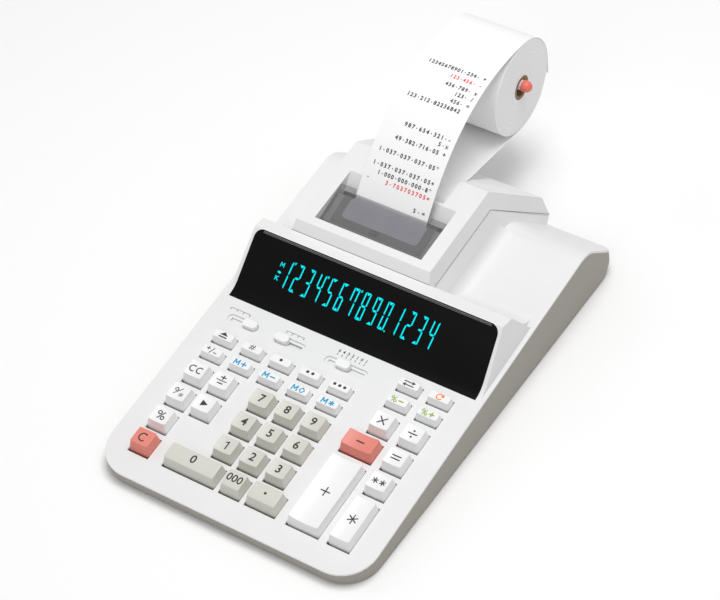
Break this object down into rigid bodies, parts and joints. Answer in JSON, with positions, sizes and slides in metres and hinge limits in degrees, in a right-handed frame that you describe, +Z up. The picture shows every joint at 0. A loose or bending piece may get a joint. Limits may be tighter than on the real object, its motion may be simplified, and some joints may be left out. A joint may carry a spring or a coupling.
{
  "type": "desk printing calculator",
  "caption": "Sloping desk printing calculator with a raised display, a tear-off window and a paper roll held on a rear arm.",
  "frame": {"origin": "centre of the bounding box, on the surface that the four rubber feet stand on", "axes": "+X to the right of a person using the keys, +Y away from them towards the paper roll, +Z up; the key deck is tilted about +X"},
  "size_m": [0.209, 0.4066, 0.1309],
  "materials": {
    "white_case": "fine moulded texture, satin",
    "grey_case": "fine moulded texture, satin",
    "white_key": "smooth satin",
    "number_key": "smooth satin",
    "red_key": "smooth satin",
    "display_black": "polished",
    "tube_glass": "dark glass",
    "smoked_window": "clear smoked",
    "printer_steel": "pressed sheet",
    "roller_rubber": "ground",
    "drum_plastic": "moulded type wheels",
    "paper": "plain bond paper",
    "core_card": "wound board",
    "tip_red": "moulded",
    "foot_rubber": "matt",
    "screw_steel": "plated",
    "dome_rubber": "silicone",
    "board_green": "coated board"
  },
  "bodies": {
    "root": {"upper_case": "white_case", "lower_case": "grey_case", "display_window": "display_black", "printer_cover": "white_case", "paper_web": "paper", "roll_arm": "white_case", "spindle_tip": "tip_red", "printer_frame": "printer_steel", "main_board": "board_green", "display_tube": "tube_glass", "dome_sheet": "dome_rubber", "rubber_feet": "foot_rubber", "case_screws": "screw_steel"},
    "window": {"tear_off_window": "smoked_window"},
    "roll": {"paper_roll": "paper", "roll_core": "core_card"},
    "platen": {"feed_roller": "roller_rubber"},
    "drum": {"type_drum": "drum_plastic"},
    "power_knob": {"power_knob": "white_key"},
    "rounding_knob": {"rounding_knob": "white_key"},
    "decimal_knob": {"decimal_knob": "white_key"},
    "key_feed": {"key_feed": "white_key"},
    "key_item": {"key_item": "white_key"},
    "key_cost": {"key_cost": "white_key"},
    "key_sell": {"key_sell": "white_key"},
    "key_margin": {"key_margin": "white_key"},
    "key_sign": {"key_sign": "white_key"},
    "key_memory_plus": {"key_memory_plus": "white_key"},
    "key_memory_minus": {"key_memory_minus": "white_key"},
    "key_memory_subtotal": {"key_memory_subtotal": "white_key"},
    "key_memory_total": {"key_memory_total": "white_key"},
    "key_change": {"key_change": "white_key"},
    "key_reprint": {"key_reprint": "white_key"},
    "key_tax_minus": {"key_tax_minus": "white_key"},
    "key_tax_plus": {"key_tax_plus": "white_key"},
    "key_clear_all": {"key_clear_all": "white_key"},
    "key_markup": {"key_markup": "white_key"},
    "key_seven": {"key_seven": "number_key"},
    "key_eight": {"key_eight": "number_key"},
    "key_nine": {"key_nine": "number_key"},
    "key_multiply": {"key_multiply": "white_key"},
    "key_divide": {"key_divide": "white_key"},
    "key_nonadd": {"key_nonadd": "white_key"},
    "key_backspace": {"key_backspace": "white_key"},
    "key_four": {"key_four": "number_key"},
    "key_five": {"key_five": "number_key"},
    "key_six": {"key_six": "number_key"},
    "key_minus": {"key_minus": "red_key"},
    "key_equals": {"key_equals": "white_key"},
    "key_percent": {"key_percent": "white_key"},
    "key_one": {"key_one": "number_key"},
    "key_two": {"key_two": "number_key"},
    "key_three": {"key_three": "number_key"},
    "key_grand_total": {"key_grand_total": "white_key"},
    "key_plus": {"key_plus": "white_key"},
    "key_clear": {"key_clear": "red_key"},
    "key_zero": {"key_zero": "number_key"},
    "key_triple_zero": {"key_triple_zero": "number_key"},
    "key_decimal": {"key_decimal": "number_key"},
    "key_total": {"key_total": "white_key"}
  },
  "joints": [
    {"name": "window_hinge", "type": "hinge", "parent": "root", "child": "window", "pos_m": [-0.02, 0.01339, 0.06284], "axis": [1, 0, 0], "range_deg": [0, 88]},
    {"name": "roll_spin", "type": "hinge", "parent": "root", "child": "roll", "pos_m": [-0.02, 0.16692, 0.0932], "axis": [1, 0, 0], "continuous": true},
    {"name": "platen_spin", "type": "hinge", "parent": "root", "child": "platen", "pos_m": [-0.02, 0.03172, 0.04702], "axis": [1, 0, 0], "continuous": true},
    {"name": "drum_spin", "type": "hinge", "parent": "root", "child": "drum", "pos_m": [-0.02, 0.0171, 0.04989], "axis": [1, 0, 0], "continuous": true},
    {"name": "power_slide", "type": "slide", "parent": "root", "child": "power_knob", "axis": [1, 0, 0], "range_m": [-0.0132, 0.0002]},
    {"name": "rounding_slide", "type": "slide", "parent": "root", "child": "rounding_knob", "axis": [1, 0, 0], "range_m": [-0.0002, 0.0122]},
    {"name": "decimal_slide", "type": "slide", "parent": "root", "child": "decimal_knob", "axis": [1, 0, 0], "range_m": [-0.0091, 0.0129]},
    {"name": "feed_press", "type": "slide", "parent": "root", "child": "key_feed", "axis": [0, 0.1201, -0.9928], "range_m": [0, 0.0026], "stiffness_N_per_m": 300, "springref_m": -0.0015},
    {"name": "item_press", "type": "slide", "parent": "root", "child": "key_item", "axis": [0, 0.1201, -0.9928], "range_m": [0, 0.0026], "stiffness_N_per_m": 300, "springref_m": -0.0015},
    {"name": "cost_press", "type": "slide", "parent": "root", "child": "key_cost", "axis": [0, 0.1201, -0.9928], "range_m": [0, 0.0026], "stiffness_N_per_m": 300, "springref_m": -0.0015},
    {"name": "sell_press", "type": "slide", "parent": "root", "child": "key_sell", "axis": [0, 0.1201, -0.9928], "range_m": [0, 0.0026], "stiffness_N_per_m": 300, "springref_m": -0.0015},
    {"name": "margin_press", "type": "slide", "parent": "root", "child": "key_margin", "axis": [0, 0.1201, -0.9928], "range_m": [0, 0.0026], "stiffness_N_per_m": 300, "springref_m": -0.0015},
    {"name": "sign_press", "type": "slide", "parent": "root", "child": "key_sign", "axis": [0, 0.1201, -0.9928], "range_m": [0, 0.0026], "stiffness_N_per_m": 300, "springref_m": -0.0015},
    {"name": "memory_plus_press", "type": "slide", "parent": "root", "child": "key_memory_plus", "axis": [0, 0.1201, -0.9928], "range_m": [0, 0.0026], "stiffness_N_per_m": 300, "springref_m": -0.0015},
    {"name": "memory_minus_press", "type": "slide", "parent": "root", "child": "key_memory_minus", "axis": [0, 0.1201, -0.9928], "range_m": [0, 0.0026], "stiffness_N_per_m": 300, "springref_m": -0.0015},
    {"name": "memory_subtotal_press", "type": "slide", "parent": "root", "child": "key_memory_subtotal", "axis": [0, 0.1201, -0.9928], "range_m": [0, 0.0026], "stiffness_N_per_m": 300, "springref_m": -0.0015},
    {"name": "memory_total_press", "type": "slide", "parent": "root", "child": "key_memory_total", "axis": [0, 0.1201, -0.9928], "range_m": [0, 0.0026], "stiffness_N_per_m": 300, "springref_m": -0.0015},
    {"name": "change_press", "type": "slide", "parent": "root", "child": "key_change", "axis": [0, 0.1201, -0.9928], "range_m": [0, 0.0026], "stiffness_N_per_m": 300, "springref_m": -0.0015},
    {"name": "reprint_press", "type": "slide", "parent": "root", "child": "key_reprint", "axis": [0, 0.1201, -0.9928], "range_m": [0, 0.0026], "stiffness_N_per_m": 300, "springref_m": -0.0015},
    {"name": "tax_minus_press", "type": "slide", "parent": "root", "child": "key_tax_minus", "axis": [0, 0.1201, -0.9928], "range_m": [0, 0.0026], "stiffness_N_per_m": 300, "springref_m": -0.0015},
    {"name": "tax_plus_press", "type": "slide", "parent": "root", "child": "key_tax_plus", "axis": [0, 0.1201, -0.9928], "range_m": [0, 0.0026], "stiffness_N_per_m": 300, "springref_m": -0.0015},
    {"name": "clear_all_press", "type": "slide", "parent": "root", "child": "key_clear_all", "axis": [0, 0.1201, -0.9928], "range_m": [0, 0.0026], "stiffness_N_per_m": 300, "springref_m": -0.0015},
    {"name": "markup_press", "type": "slide", "parent": "root", "child": "key_markup", "axis": [0, 0.1201, -0.9928], "range_m": [0, 0.0026], "stiffness_N_per_m": 300, "springref_m": -0.0015},
    {"name": "seven_press", "type": "slide", "parent": "root", "child": "key_seven", "axis": [0, 0.1201, -0.9928], "range_m": [0, 0.0026], "stiffness_N_per_m": 300, "springref_m": -0.0015},
    {"name": "eight_press", "type": "slide", "parent": "root", "child": "key_eight", "axis": [0, 0.1201, -0.9928], "range_m": [0, 0.0026], "stiffness_N_per_m": 300, "springref_m": -0.0015},
    {"name": "nine_press", "type": "slide", "parent": "root", "child": "key_nine", "axis": [0, 0.1201, -0.9928], "range_m": [0, 0.0026], "stiffness_N_per_m": 300, "springref_m": -0.0015},
    {"name": "multiply_press", "type": "slide", "parent": "root", "child": "key_multiply", "axis": [0, 0.1201, -0.9928], "range_m": [0, 0.0026], "stiffness_N_per_m": 300, "springref_m": -0.0015},
    {"name": "divide_press", "type": "slide", "parent": "root", "child": "key_divide", "axis": [0, 0.1201, -0.9928], "range_m": [0, 0.0026], "stiffness_N_per_m": 300, "springref_m": -0.0015},
    {"name": "nonadd_press", "type": "slide", "parent": "root", "child": "key_nonadd", "axis": [0, 0.1201, -0.9928], "range_m": [0, 0.0026], "stiffness_N_per_m": 300, "springref_m": -0.0015},
    {"name": "backspace_press", "type": "slide", "parent": "root", "child": "key_backspace", "axis": [0, 0.1201, -0.9928], "range_m": [0, 0.0026], "stiffness_N_per_m": 300, "springref_m": -0.0015},
    {"name": "four_press", "type": "slide", "parent": "root", "child": "key_four", "axis": [0, 0.1201, -0.9928], "range_m": [0, 0.0026], "stiffness_N_per_m": 300, "springref_m": -0.0015},
    {"name": "five_press", "type": "slide", "parent": "root", "child": "key_five", "axis": [0, 0.1201, -0.9928], "range_m": [0, 0.0026], "stiffness_N_per_m": 300, "springref_m": -0.0015},
    {"name": "six_press", "type": "slide", "parent": "root", "child": "key_six", "axis": [0, 0.1201, -0.9928], "range_m": [0, 0.0026], "stiffness_N_per_m": 300, "springref_m": -0.0015},
    {"name": "minus_press", "type": "slide", "parent": "root", "child": "key_minus", "axis": [0, 0.1201, -0.9928], "range_m": [0, 0.0026], "stiffness_N_per_m": 300, "springref_m": -0.0015},
    {"name": "equals_press", "type": "slide", "parent": "root", "child": "key_equals", "axis": [0, 0.1201, -0.9928], "range_m": [0, 0.0026], "stiffness_N_per_m": 300, "springref_m": -0.0015},
    {"name": "percent_press", "type": "slide", "parent": "root", "child": "key_percent", "axis": [0, 0.1201, -0.9928], "range_m": [0, 0.0026], "stiffness_N_per_m": 300, "springref_m": -0.0015},
    {"name": "one_press", "type": "slide", "parent": "root", "child": "key_one", "axis": [0, 0.1201, -0.9928], "range_m": [0, 0.0026], "stiffness_N_per_m": 300, "springref_m": -0.0015},
    {"name": "two_press", "type": "slide", "parent": "root", "child": "key_two", "axis": [0, 0.1201, -0.9928], "range_m": [0, 0.0026], "stiffness_N_per_m": 300, "springref_m": -0.0015},
    {"name": "three_press", "type": "slide", "parent": "root", "child": "key_three", "axis": [0, 0.1201, -0.9928], "range_m": [0, 0.0026], "stiffness_N_per_m": 300, "springref_m": -0.0015},
    {"name": "grand_total_press", "type": "slide", "parent": "root", "child": "key_grand_total", "axis": [0, 0.1201, -0.9928], "range_m": [0, 0.0026], "stiffness_N_per_m": 300, "springref_m": -0.0015},
    {"name": "plus_press", "type": "slide", "parent": "root", "child": "key_plus", "axis": [0, 0.1201, -0.9928], "range_m": [0, 0.0026], "stiffness_N_per_m": 300, "springref_m": -0.0015},
    {"name": "clear_press", "type": "slide", "parent": "root", "child": "key_clear", "axis": [0, 0.1201, -0.9928], "range_m": [0, 0.0026], "stiffness_N_per_m": 300, "springref_m": -0.0015},
    {"name": "zero_press", "type": "slide", "parent": "root", "child": "key_zero", "axis": [0, 0.1201, -0.9928], "range_m": [0, 0.0026], "stiffness_N_per_m": 300, "springref_m": -0.0015},
    {"name": "triple_zero_press", "type": "slide", "parent": "root", "child": "key_triple_zero", "axis": [0, 0.1201, -0.9928], "range_m": [0, 0.0026], "stiffness_N_per_m": 300, "springref_m": -0.0015},
    {"name": "decimal_press", "type": "slide", "parent": "root", "child": "key_decimal", "axis": [0, 0.1201, -0.9928], "range_m": [0, 0.0026], "stiffness_N_per_m": 300, "springref_m": -0.0015},
    {"name": "total_press", "type": "slide", "parent": "root", "child": "key_total", "axis": [0, 0.1201, -0.9928], "range_m": [0, 0.0026], "stiffness_N_per_m": 300, "springref_m": -0.0015}
  ],
  "couplings": [
    {"joint": "platen_spin", "follows": "roll_spin", "ratio": 4.475}
  ]
}
